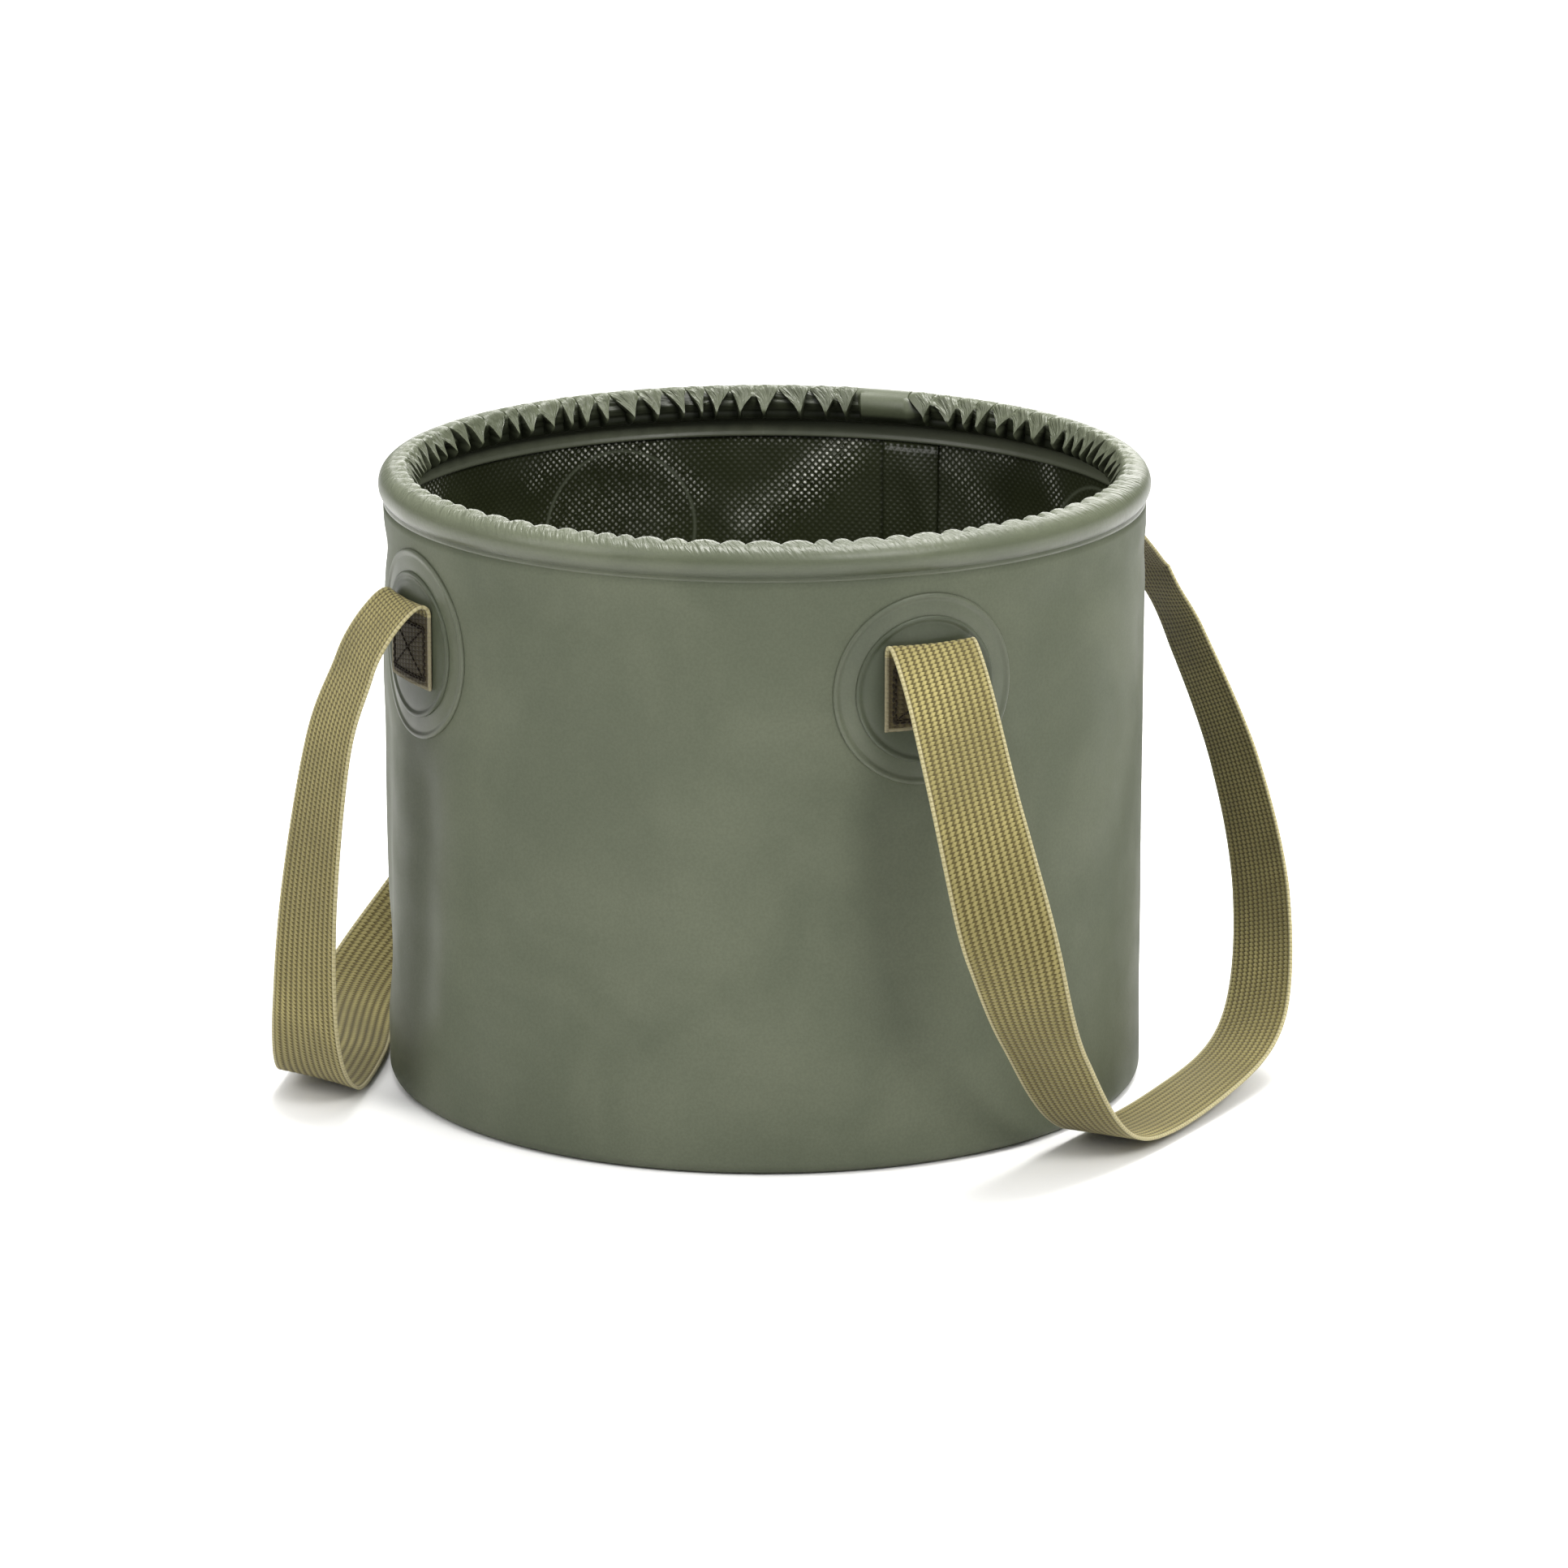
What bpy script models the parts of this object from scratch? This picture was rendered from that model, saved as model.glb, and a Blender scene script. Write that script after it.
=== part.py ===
"""Collapsible camp bucket: a welded tarpaulin tub on a rim hoop, with two webbing carrying loops.

Units are metres. The origin is on the floor under the middle of the base, +Z is up, the two
loops hang on the -X and +X sides, and the vertical weld of the wall is at +Y.
"""

import math
import random

import bmesh
import bpy
from mathutils import Matrix, Vector
from mathutils.geometry import interpolate_bezier

# Clearance between pieces that touch on the real bucket
GAP = 0.0003

# Tub
WALL_RADIUS = 0.158
HEIGHT = 0.260
SHEET = 0.0006
CORNER_RADIUS = 0.005
FLANGE_WIDTH = 0.020
BASE_THICKNESS = 0.0012
SEAM_WIDTH = 0.026
SEAM_SHEET = 0.0005
SEAM_MIDDLE = math.radians(86)

# Rim
SLEEVE_RADIUS = 0.0075
HOOP_RADIUS = 0.0045
HOOP_CLEARANCE = 0.0011
HOOP_LEAN = math.radians(67.5)
HOOP_SPLIT = 0.0010
JOINER_RADIUS = 0.0022
JOINER_LENGTH = 0.038
RIM_PROUD = 0.0020
HEM_BAND = 0.0050
HEM_RETURN = 0.0030
PLEATS = 88
PLEAT_RISE = 0.0024
PLEAT_DROP = 0.0027
PLEAT_JITTER = 0.22
PLAIN_ARC = math.radians(9)
PLAIN_MIDDLE = math.radians(90)

# Weld patches and webbing
TAB_ANGLE = math.radians(46)
PATCH_DROP = 0.061
PATCH_RADIUS = 0.039
DISC_RADIUS = 0.030
WEBBING_WIDTH = 0.038
WEBBING_THICKNESS = 0.0015
TAB_HEIGHT = 0.032
TAB_DROP = 0.0010
STITCH_MARGIN = 0.0035
STITCH_WIDTH = 0.0011
STITCH_THICKNESS = 0.0004
FOLD_REACH = 0.0240
FOLD_RISE = 0.0120
FOLD_RUN = 0.0160
HINGE_DROP = 0.0205
HANG_REACH = 0.0680

# How each loop hangs: place beyond the hinge line as a share of the loop's reach, along it as a
# share of the loop end's, height as a share of the hinge's, turn and tilt of the webbing in degrees
RIGHT_HANG_SHARES = (
    (0.262, -1.127, 0.775, 34, -8),
    (0.453, -1.132, 0.532, 17, -11),
    (0.512, -0.909, 0.285, -1, -8),
    (0.644, -0.532, 0.042, -13, 2),
    (0.879, 0.077, 0.032, -22, 8),
    (1.000, 0.455, 0.114, -30, 12),
    (0.894, 0.716, 0.341, -36, 12),
    (0.615, 0.880, 0.609, -41, 6),
    (0.218, 0.987, 0.869, -44, 0),
)
LEFT_HANG_SHARES = (
    (0.129, -1.064, 0.828, 40, 3),
    (0.247, -1.093, 0.490, 31, 6),
    (0.335, -1.026, 0.200, 21, 8),
    (0.438, -0.813, 0.042, 8, 5),
    (0.600, -0.435, 0.027, -7, 6),
    (0.950, 0.194, 0.053, -18, 10),
    (0.720, 0.677, 0.269, -30, 11),
    (0.500, 0.880, 0.590, -40, 7),
    (0.218, 0.987, 0.869, -44, 0),
)

# How the gathers run over the hoop: angle in degrees, and how far the ridges stand out and the
# folds between them sink in there, as shares of the most that they do
GATHER = ((120, 0.40, 0.05), (155, 0.20, 0.60), (190, 1.00, 1.00), (235, 0.10, 0.40))

# Facets
TURN_STEPS = 72
HOOP_STEPS = 60
PATCH_STEPS = 36
LOOP_STEPS = 7
FOLD_STEPS = 8
SEED = 7

# Places that follow from the sizes above
RIM_RADIUS = WALL_RADIUS + RIM_PROUD - SLEEVE_RADIUS
RIM_HEIGHT = HEIGHT - SLEEVE_RADIUS
HOOP_LIFT = SLEEVE_RADIUS - SHEET - HOOP_CLEARANCE - HOOP_RADIUS
HOOP_RING = RIM_RADIUS + HOOP_LIFT * math.cos(HOOP_LEAN)
HOOP_HEIGHT = RIM_HEIGHT + HOOP_LIFT * math.sin(HOOP_LEAN)
WALL_TOP = RIM_HEIGHT - SLEEVE_RADIUS
BASE_RADIUS = WALL_RADIUS - CORNER_RADIUS
LINING_RADIUS = WALL_RADIUS - SHEET - 2 * GAP
PATCH_HEIGHT = HEIGHT - PATCH_DROP
PATCH_FACE = WALL_RADIUS + GAP
DISC_FACE = PATCH_FACE + SHEET + GAP
TAB_FACE = DISC_FACE + SHEET + GAP
STITCH_FACE = TAB_FACE + WEBBING_THICKNESS + GAP
TAB_MIDDLE = PATCH_HEIGHT - TAB_DROP
TAB_TOP = TAB_MIDDLE + TAB_HEIGHT / 2
WEBBING_RADIUS = TAB_FACE + WEBBING_THICKNESS / 2
HINGE_RADIUS = WEBBING_RADIUS + FOLD_REACH
HINGE_HEIGHT = TAB_TOP - HINGE_DROP


def clear_scene():
    for thing in list(bpy.data.objects):
        bpy.data.objects.remove(thing)


def new_collection(name):
    collection = bpy.data.collections.new(name)
    bpy.context.scene.collection.children.link(collection)
    return collection


def make_material(name, colour, roughness):
    material = bpy.data.materials.new(name)
    material.use_nodes = True
    surface = material.node_tree.nodes["Principled BSDF"]
    surface.inputs["Base Color"].default_value = (*colour, 1.0)
    surface.inputs["Roughness"].default_value = roughness
    surface.inputs["Metallic"].default_value = 0.0
    material.diffuse_color = (*colour, 1.0)
    return material


def place(name, mesh, material, collection, smooth_below=math.radians(40)):
    """Adds a mesh as one named sub-part."""
    mesh.name = name
    mesh.materials.clear()
    mesh.materials.append(material)
    mesh.shade_smooth()
    mesh.set_sharp_from_angle(angle=smooth_below)
    part = bpy.data.objects.new(name, mesh)
    collection.objects.link(part)
    return part


def mesh_from(build):
    """Runs a function that fills a bmesh, and returns the mesh."""
    bm = bmesh.new()
    build(bm)
    mesh = bpy.data.meshes.new("shape")
    bm.to_mesh(mesh)
    bm.free()
    return mesh


def thicken(part, thickness, offset, even=True):
    shell = part.modifiers.new("sheet", "SOLIDIFY")
    shell.thickness = thickness
    shell.offset = offset
    shell.use_even_offset = even


def turned(name, profile, material, collection):
    """Turns a profile of (radius, height) points, listed down the outer side, about Z."""
    def build(bm):
        points = [bm.verts.new((radius, 0.0, height)) for radius, height in profile]
        for first, second in zip(points, points[1:]):
            bm.edges.new((first, second))

    part = place(name, mesh_from(build), material, collection)
    screw = part.modifiers.new("turn", "SCREW")
    screw.steps = screw.render_steps = TURN_STEPS
    screw.use_merge_vertices = True
    screw.merge_threshold = 0.00001
    screw.use_normal_calculate = True
    return part


def arc(middle, radius, start, end, steps):
    """Points along an arc in the (radius, height) plane, angles in degrees."""
    turns = [math.radians(start + (end - start) * step / steps) for step in range(steps + 1)]
    return [
        (middle[0] + radius * math.cos(turn), middle[1] + radius * math.sin(turn))
        for turn in turns
    ]


def side_wall(material, collection):
    """The welded tube of coated fabric, turned in under the base."""
    corner = arc((WALL_RADIUS - CORNER_RADIUS, CORNER_RADIUS), CORNER_RADIUS, 0, -90, 2)
    inner_edge = (WALL_RADIUS - CORNER_RADIUS - FLANGE_WIDTH, 0.0)
    part = turned("side_wall", [(WALL_RADIUS, WALL_TOP), *corner, inner_edge], material, collection)
    thicken(part, SHEET, -1.0)
    return part


def base_panel(material, collection):
    """The round bottom, which lies on the wall's turned-in edge."""
    def build(bm):
        bottom = SHEET + GAP
        bmesh.ops.create_cone(
            bm, cap_ends=True, segments=TURN_STEPS, radius1=BASE_RADIUS, radius2=BASE_RADIUS,
            depth=BASE_THICKNESS, matrix=Matrix.Translation((0, 0, bottom + BASE_THICKNESS / 2)))

    return place("base_panel", mesh_from(build), material, collection)


def seam_tape(material, collection):
    """The lap of the wall's vertical weld, on the inside of the tub."""
    bottom = CORNER_RADIUS + SHEET
    top = WALL_TOP - HEM_RETURN - HEM_BAND - GAP
    face = WALL_RADIUS - SHEET - 2 * GAP - SEAM_SHEET
    part = wrapped_sheet(
        "seam_tape", SEAM_WIDTH, top - bottom, 4, SEAM_MIDDLE, (top + bottom) / 2, face,
        material, collection)
    thicken(part, SEAM_SHEET, 1.0)
    return part


def rim_hoop(material, collection, cutters):
    """The stiff ring that the sleeve hangs on, open where its two ends meet on the joiner."""
    split = HOOP_SPLIT / HOOP_RING
    start = PLAIN_MIDDLE + split / 2
    sweep = 2 * math.pi - split
    curve = bpy.data.curves.new("hoop_path", "CURVE")
    curve.dimensions = "3D"
    spline = curve.splines.new("POLY")
    spline.points.add(HOOP_STEPS)
    for step, point in enumerate(spline.points):
        angle = start + sweep * step / HOOP_STEPS
        point.co = (HOOP_RING * math.cos(angle), HOOP_RING * math.sin(angle), HOOP_HEIGHT, 1.0)
    curve.bevel_depth = HOOP_RADIUS
    curve.bevel_resolution = 2
    curve.use_fill_caps = True
    path = bpy.data.objects.new("hoop_path", curve)
    collection.objects.link(path)

    graph = bpy.context.evaluated_depsgraph_get()
    mesh = bpy.data.meshes.new_from_object(path.evaluated_get(graph))
    bpy.data.objects.remove(path)
    bm = bmesh.new()
    bm.from_mesh(mesh)
    bmesh.ops.remove_doubles(bm, verts=bm.verts, dist=0.00001)
    bmesh.ops.recalc_face_normals(bm, faces=bm.faces)
    bm.to_mesh(mesh)
    bm.free()
    hoop = place("rim_hoop", mesh, material, collection)

    bore = joiner_shape("joiner_bore", JOINER_RADIUS + GAP, JOINER_LENGTH + 2 * GAP, cutters, material)
    bore.hide_render = True
    bore.display_type = "WIRE"
    cut = hoop.modifiers.new("joiner_bore", "BOOLEAN")
    cut.operation = "DIFFERENCE"
    cut.object = bore
    return hoop


def joiner_shape(name, radius, length, collection, material):
    """A round pin across the hoop's split, along the rim."""
    along_rim = Matrix.Rotation(PLAIN_MIDDLE, 4, "Z") @ Matrix.Translation((HOOP_RING, 0, HOOP_HEIGHT))
    lying = Matrix.Rotation(math.pi / 2, 4, "X")

    def build(bm):
        bmesh.ops.create_cone(
            bm, cap_ends=True, segments=12, radius1=radius, radius2=radius, depth=length,
            matrix=along_rim @ lying)

    return place(name, mesh_from(build), material, collection)


def pleat_columns():
    """Angle of each ridge (above 0) and fold (below 0) of the gathers, round the rim from +X."""
    chance = random.Random(SEED)
    pitch = 2 * math.pi / PLEATS
    columns = []
    for pleat in range(PLEATS):
        ridge = (pleat + 0.25 + chance.uniform(-1, 1) * PLEAT_JITTER * 0.5) * pitch
        fold = (pleat + 0.75) * pitch
        height = 1.0 - chance.random() * 2 * PLEAT_JITTER
        columns += [(ridge, height), (fold, -1.0)]
    return [(angle, 0.0 if is_plain(angle) else height) for angle, height in columns]


def is_plain(angle):
    """Whether an angle lies in the short ungathered stretch over the seam."""
    away = (angle - PLAIN_MIDDLE + math.pi) % (2 * math.pi) - math.pi
    return abs(away) < PLAIN_ARC / 2


def sleeve_profile():
    """The sleeve's visible side from the wall over the hoop to the hem: point, ridge and fold."""
    middle = (RIM_RADIUS, RIM_HEIGHT)
    band_top = WALL_TOP - HEM_RETURN
    profile = [((WALL_RADIUS, WALL_TOP + GAP), 0.0, 0.0)]
    profile += [(point, 0.0, 0.0) for point in arc(middle, SLEEVE_RADIUS, -45, 90, 3)]
    for angle, ridge, fold in GATHER:
        point = arc(middle, SLEEVE_RADIUS, angle, angle, 1)[0]
        profile.append((point, ridge * PLEAT_RISE, fold * PLEAT_DROP))
    profile.append(((LINING_RADIUS - SHEET, band_top), 0.0, 0.0))
    profile.append(((LINING_RADIUS - SHEET, band_top - HEM_BAND), 0.0, 0.0))
    return profile


def rim_sleeve(material, collection):
    """The hem of the wall, drawn over the hoop and gathered on its inner side."""
    profile = sleeve_profile()
    columns = pleat_columns()
    points = [Vector((radius, 0.0, height)) for (radius, height), *_ in profile]
    outward = []
    for index, point in enumerate(points):
        before = points[max(index - 1, 0)]
        after = points[min(index + 1, len(points) - 1)]
        run = (after - before).normalized()
        outward.append(Vector((run.z, 0.0, -run.x)))

    def build(bm):
        rows = []
        for angle, height in columns:
            turn = Matrix.Rotation(angle, 3, "Z")
            row = []
            for point, normal, (_, ridge, fold) in zip(points, outward, profile):
                lift = height * (ridge if height > 0 else fold)
                row.append(bm.verts.new(turn @ (point + normal * lift)))
            rows.append(row)
        for row, after in zip(rows, rows[1:] + rows[:1]):
            for low in range(len(profile) - 1):
                bm.faces.new((row[low], after[low], after[low + 1], row[low + 1]))

    part = place("rim_sleeve", mesh_from(build), material, collection)
    thicken(part, SHEET, -1.0)
    return part


def wrap(mesh, angle, height, radius):
    """Bends a flat mesh, drawn in X across and Y up, round the wall at an angle."""
    for vertex in mesh.vertices:
        turn = angle + vertex.co.x / radius
        reach = radius + vertex.co.z
        vertex.co = (reach * math.cos(turn), reach * math.sin(turn), height + vertex.co.y)


def wrapped_sheet(name, width, length, cells, angle, height, radius, material, collection):
    """A rectangle of sheet that follows the wall."""
    def build(bm):
        bmesh.ops.create_grid(bm, x_segments=cells, y_segments=1, size=0.5)
        bmesh.ops.scale(bm, vec=(width, length, 1.0), verts=bm.verts)

    mesh = mesh_from(build)
    wrap(mesh, angle, height, radius)
    return place(name, mesh, material, collection)


def wrapped_disc(name, outer, angle, radius, material, collection):
    """A round patch that follows the wall, drawn in upright strips so that it bends evenly."""
    def build(bm):
        before = [bm.verts.new((-outer, 0.0, 0.0))]
        for step in range(1, PATCH_STEPS // 2 + 1):
            turn = 2 * math.pi * step / PATCH_STEPS
            x, y = -outer * math.cos(turn), outer * math.sin(turn)
            heights = (-y, y) if step < PATCH_STEPS // 2 else (0.0,)
            after = [bm.verts.new((x, height, 0.0)) for height in heights]
            bm.faces.new((before[0], *after, *before[:0:-1]))
            before = after

    mesh = mesh_from(build)
    wrap(mesh, angle, PATCH_HEIGHT, radius)
    part = place(name, mesh, material, collection)
    thicken(part, SHEET, 1.0)
    return part


def box_stitch(name, angle, material, collection):
    """The sewn box and cross that hold a webbing end, as one flat frame of thread."""
    across = WEBBING_WIDTH / 2 - STITCH_MARGIN
    up = TAB_HEIGHT / 2 - STITCH_MARGIN

    def build(bm):
        middle = bm.verts.new((0.0, 0.0, 0.0))
        places = ((-across, -up), (across, -up), (across, up), (-across, up))
        corners = [bm.verts.new((*spot, 0.0)) for spot in places]
        for first, second in zip(corners, corners[1:] + corners[:1]):
            bm.faces.new((first, second, middle))
        bmesh.ops.bisect_edges(bm, edges=bm.edges, cuts=2)
        windows = list(bm.faces)
        bmesh.ops.inset_individual(
            bm, faces=windows, thickness=STITCH_WIDTH / 2, use_even_offset=True)
        bmesh.ops.delete(bm, geom=windows, context="FACES")

    mesh = mesh_from(build)
    wrap(mesh, angle, TAB_MIDDLE, STITCH_FACE)
    part = place(name, mesh, material, collection)
    thicken(part, STITCH_THICKNESS, 1.0, even=False)
    return part


def webbing_strip(name, path, side, material, collection):
    """A flat strap along a path of (middle, across) pairs, mirrored in X for the left side."""
    def build(bm):
        edges = []
        for middle, across in path:
            half = across.normalized() * WEBBING_WIDTH / 2
            ends = [middle - half, middle + half]
            edges.append([bm.verts.new((side * point.x, point.y, point.z)) for point in ends])
        for first, second in zip(edges, edges[1:]):
            bm.faces.new((first[0], first[1], second[1], second[0]))

    part = place(name, mesh_from(build), material, collection)
    thicken(part, WEBBING_THICKNESS, 0.0)
    return part


def tab_frame(end):
    """Outward and sideways directions of the right side's tab at the -Y (-1) or +Y (+1) end."""
    outward = Vector((math.cos(TAB_ANGLE), end * math.sin(TAB_ANGLE), 0.0))
    sideways = Vector((math.sin(TAB_ANGLE), -end * math.cos(TAB_ANGLE), 0.0))
    return outward, sideways


def hang_stations(hang):
    """The loop's chosen places from its front end to its back end, as (middle, across)."""
    front, front_across = tab_frame(-1)
    back, back_across = tab_frame(1)
    hinge = Vector((0, 0, HINGE_HEIGHT))
    hinge_line = front.x * HINGE_RADIUS
    half_span = back.y * HINGE_RADIUS
    stations = [(front * HINGE_RADIUS + hinge, front_across)]
    for reach, along, height, turn, tilt in hang:
        middle = Vector((
            hinge_line + reach * HANG_REACH, along * half_span, height * HINGE_HEIGHT))
        turn, tilt = math.radians(turn), math.radians(tilt)
        flat = Vector((math.cos(turn), math.sin(turn), 0.0)) * math.cos(tilt)
        stations.append((middle, flat + Vector((0, 0, math.sin(tilt)))))
    stations.append((back * HINGE_RADIUS + hinge, back_across))
    return stations


def catmull_rom(before, start, end, after, share):
    """A point on the smooth curve through four values, between the middle two."""
    return 0.5 * (
        2 * start + (end - before) * share
        + (2 * before - 5 * start + 4 * end - after) * share ** 2
        + (3 * start - before - 3 * end + after) * share ** 3)


def squared(path):
    """The path with each across direction made square to the run there."""
    square = []
    for index, (middle, across) in enumerate(path):
        run = path[min(index + 1, len(path) - 1)][0] - path[max(index - 1, 0)][0]
        run.normalize()
        square.append((middle, (across - across.dot(run) * run).normalized()))
    return square


def loop_path(hang):
    """The hanging loop as a smooth curve through its stations."""
    stations = hang_stations(hang)
    lead = tuple(2 * end - inner for end, inner in zip(stations[0], stations[1]))
    tail = tuple(2 * end - inner for end, inner in zip(stations[-1], stations[-2]))
    ring = [lead, *stations, tail]
    path = []
    for index in range(len(ring) - 3):
        for step in range(LOOP_STEPS):
            share = step / LOOP_STEPS
            path.append(tuple(
                catmull_rom(*(station[part] for station in ring[index:index + 4]), share)
                for part in (0, 1)))
    return squared([*path, stations[-1]])


def fold_path(end, hinge, across, run):
    """The webbing from the top of a tab, over its crest and out into the loop."""
    outward, sideways = tab_frame(end)
    start = outward * WEBBING_RADIUS + Vector((0, 0, TAB_TOP + GAP))
    finish = hinge - run * GAP
    points = interpolate_bezier(
        start, start + Vector((0, 0, FOLD_RISE)), finish - run * FOLD_RUN, finish, FOLD_STEPS + 1)
    middle = squared([(point, sideways) for point in points])[1:-1]
    return [(start, sideways), *middle, (finish, across)]


def handle(side_name, side, hang, materials, collection):
    """One carrying loop with its two welded and sewn ends."""
    tarp, webbing, thread = materials
    loop = loop_path(hang)
    webbing_strip(f"{side_name}_loop", loop, side, webbing, collection)
    for end_name, end, (hinge, across), inner in (
            ("front", -1, loop[0], loop[1]), ("back", 1, loop[-1], loop[-2])):
        name = f"{side_name}_{end_name}"
        angle = end * TAB_ANGLE if side > 0 else math.pi - end * TAB_ANGLE
        wrapped_disc(f"{name}_patch", PATCH_RADIUS, angle, PATCH_FACE, tarp, collection)
        wrapped_disc(f"{name}_disc", DISC_RADIUS, angle, DISC_FACE, tarp, collection)
        tab = wrapped_sheet(
            f"{name}_tab", WEBBING_WIDTH, TAB_HEIGHT, 4, angle, TAB_MIDDLE, TAB_FACE,
            webbing, collection)
        thicken(tab, WEBBING_THICKNESS, 1.0)
        box_stitch(f"{name}_stitching", angle, thread, collection)
        run = (inner[0] - hinge).normalized()
        fold = fold_path(end, hinge, across, run)
        webbing_strip(f"{name}_fold", fold, side, webbing, collection)


def main():
    clear_scene()
    bucket = new_collection("camp_bucket")
    cutters = new_collection("cutters")
    tarp = make_material("tarpaulin_green", (0.13, 0.15, 0.11), 0.42)
    base = make_material("base_green", (0.10, 0.12, 0.085), 0.45)
    plastic = make_material("hoop_plastic", (0.05, 0.05, 0.05), 0.5)
    webbing = make_material("webbing_khaki", (0.36, 0.31, 0.15), 0.85)
    thread = make_material("thread_dark", (0.06, 0.05, 0.03), 0.8)

    side_wall(tarp, bucket)
    base_panel(base, bucket)
    seam_tape(tarp, bucket)
    rim_sleeve(tarp, bucket)
    rim_hoop(plastic, bucket, cutters)
    joiner_shape("hoop_joiner", JOINER_RADIUS, JOINER_LENGTH, bucket, plastic)
    handle("right", 1, RIGHT_HANG_SHARES, (tarp, webbing, thread), bucket)
    handle("left", -1, LEFT_HANG_SHARES, (tarp, webbing, thread), bucket)


main()
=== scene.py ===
"""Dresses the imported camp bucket: tarpaulin skins, gathered rim, ribbed webbing, soft light."""

import math
import random

import bmesh
import bpy
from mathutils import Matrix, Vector, noise
from mathutils.geometry import interpolate_bezier


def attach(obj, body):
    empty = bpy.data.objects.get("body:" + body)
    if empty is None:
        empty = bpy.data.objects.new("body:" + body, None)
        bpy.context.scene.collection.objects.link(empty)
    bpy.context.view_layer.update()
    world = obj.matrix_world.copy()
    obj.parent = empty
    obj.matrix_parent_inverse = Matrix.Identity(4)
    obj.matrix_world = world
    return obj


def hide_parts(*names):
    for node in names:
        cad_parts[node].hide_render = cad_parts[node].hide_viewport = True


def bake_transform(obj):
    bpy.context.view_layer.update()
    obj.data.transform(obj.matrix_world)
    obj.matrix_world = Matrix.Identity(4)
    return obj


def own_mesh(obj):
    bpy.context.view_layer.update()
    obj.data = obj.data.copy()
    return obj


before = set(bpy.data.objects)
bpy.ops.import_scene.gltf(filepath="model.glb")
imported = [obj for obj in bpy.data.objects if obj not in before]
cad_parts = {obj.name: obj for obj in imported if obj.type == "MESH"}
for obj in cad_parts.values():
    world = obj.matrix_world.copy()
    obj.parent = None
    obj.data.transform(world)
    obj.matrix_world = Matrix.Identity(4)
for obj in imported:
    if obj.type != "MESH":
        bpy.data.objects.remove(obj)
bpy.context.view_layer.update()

# Sizes repeated from the CAD source, in metres
GAP = 0.0003
WALL_RADIUS = 0.158
HEIGHT = 0.260
SHEET = 0.0006
CORNER_RADIUS = 0.005
FLANGE_WIDTH = 0.020
BASE_RADIUS = WALL_RADIUS - CORNER_RADIUS
SLEEVE_RADIUS = 0.0075
RIM_RADIUS = WALL_RADIUS + 0.002 - SLEEVE_RADIUS
RIM_HEIGHT = HEIGHT - SLEEVE_RADIUS
WALL_TOP = RIM_HEIGHT - SLEEVE_RADIUS
SEAM_MIDDLE = math.radians(86)
SEAM_WIDTH = 0.026
TAB_ANGLE = math.radians(46)
PATCH_ANGLES = (TAB_ANGLE, math.pi - TAB_ANGLE, math.pi + TAB_ANGLE, 2 * math.pi - TAB_ANGLE)
PATCH_HEIGHT = HEIGHT - 0.061
PATCH_RADIUS = 0.039
DISC_RADIUS = 0.030
PATCH_FACE = WALL_RADIUS + GAP
DISC_FACE = PATCH_FACE + SHEET + GAP
TAB_FACE = DISC_FACE + SHEET + GAP
WEBBING_WIDTH = 0.038
WEBBING_THICKNESS = 0.0015
TAB_HEIGHT = 0.032
TAB_MIDDLE = PATCH_HEIGHT - 0.001
TAB_TOP = TAB_MIDDLE + TAB_HEIGHT / 2
TAB_FOOT = TAB_TOP - TAB_HEIGHT + 0.0015
WEBBING_RADIUS = TAB_FACE + WEBBING_THICKNESS / 2
HINGE_RADIUS = WEBBING_RADIUS + 0.024
HINGE_HEIGHT = TAB_TOP - 0.0205
FOLD_RISE = 0.012
FOLD_RUN = 0.016
HANG_REACH = 0.068

# Where each loop hangs, from its front end to its back end: reach outwards, place along and height,
# as shares of HANG_REACH, of the back end's y and of HINGE_HEIGHT, then turn and tilt in degrees
RIGHT_HANG = (
    (0.262, -1.127, 0.775, 34, -8), (0.453, -1.132, 0.532, 17, -11), (0.512, -0.909, 0.285, -1, -8),
    (0.644, -0.532, 0.042, -13, 2), (0.879, 0.077, 0.032, -22, 8), (1.000, 0.455, 0.114, -30, 12),
    (0.894, 0.716, 0.341, -36, 12), (0.615, 0.880, 0.609, -41, 6), (0.218, 0.987, 0.869, -44, 0),
)
LEFT_HANG = (
    (0.129, -1.064, 0.828, 40, 3), (0.247, -1.093, 0.490, 31, 6), (0.335, -1.026, 0.200, 21, 8),
    (0.438, -0.813, 0.042, 8, 5), (0.600, -0.435, 0.027, -7, 6), (0.950, 0.194, 0.053, -18, 10),
    (0.720, 0.677, 0.269, -30, 11), (0.500, 0.880, 0.590, -40, 7), (0.218, 0.987, 0.869, -44, 0),
)

# Rim gathers: each bright tooth narrows from its two pits' heads down to its own tip. Degrees go
# round the sleeve's tube: 0 faces out, 90 is on top and 180 faces into the tub
PLEATS = 88
PLAIN_MIDDLE = math.radians(90)
PLAIN_ARC = math.radians(9)
PLAIN_EDGE = PLAIN_MIDDLE - PLAIN_ARC / 2 + 2 * math.pi
PIT_HEADS = (108, 146)
LAST_HEAD = 128
TOOTH_TIPS = (186, 202)
TOOTH_TILT = 145.7
TOOTH_REACH = 0.0071
PIT_DEPTH = 0.0029
SMALL_FOLD = 0.0009
SCALLOP = 0.0009

# Painted shade kept with the rim's points: 1 is a pit in painted shade, 0 is plain, and below 0 is
# a paler painted reflection. The first two are for the rows next to the wall, the third for the
# tube's start above them
FOOT_PAINTED_SHADES = (0.22, 0.30)
UNDER_PAINTED_SHADE = 0.45
PIT_PAINTED_SHADE = 0.66
HEM_PAINTED_REFLECTION = -0.20

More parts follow.
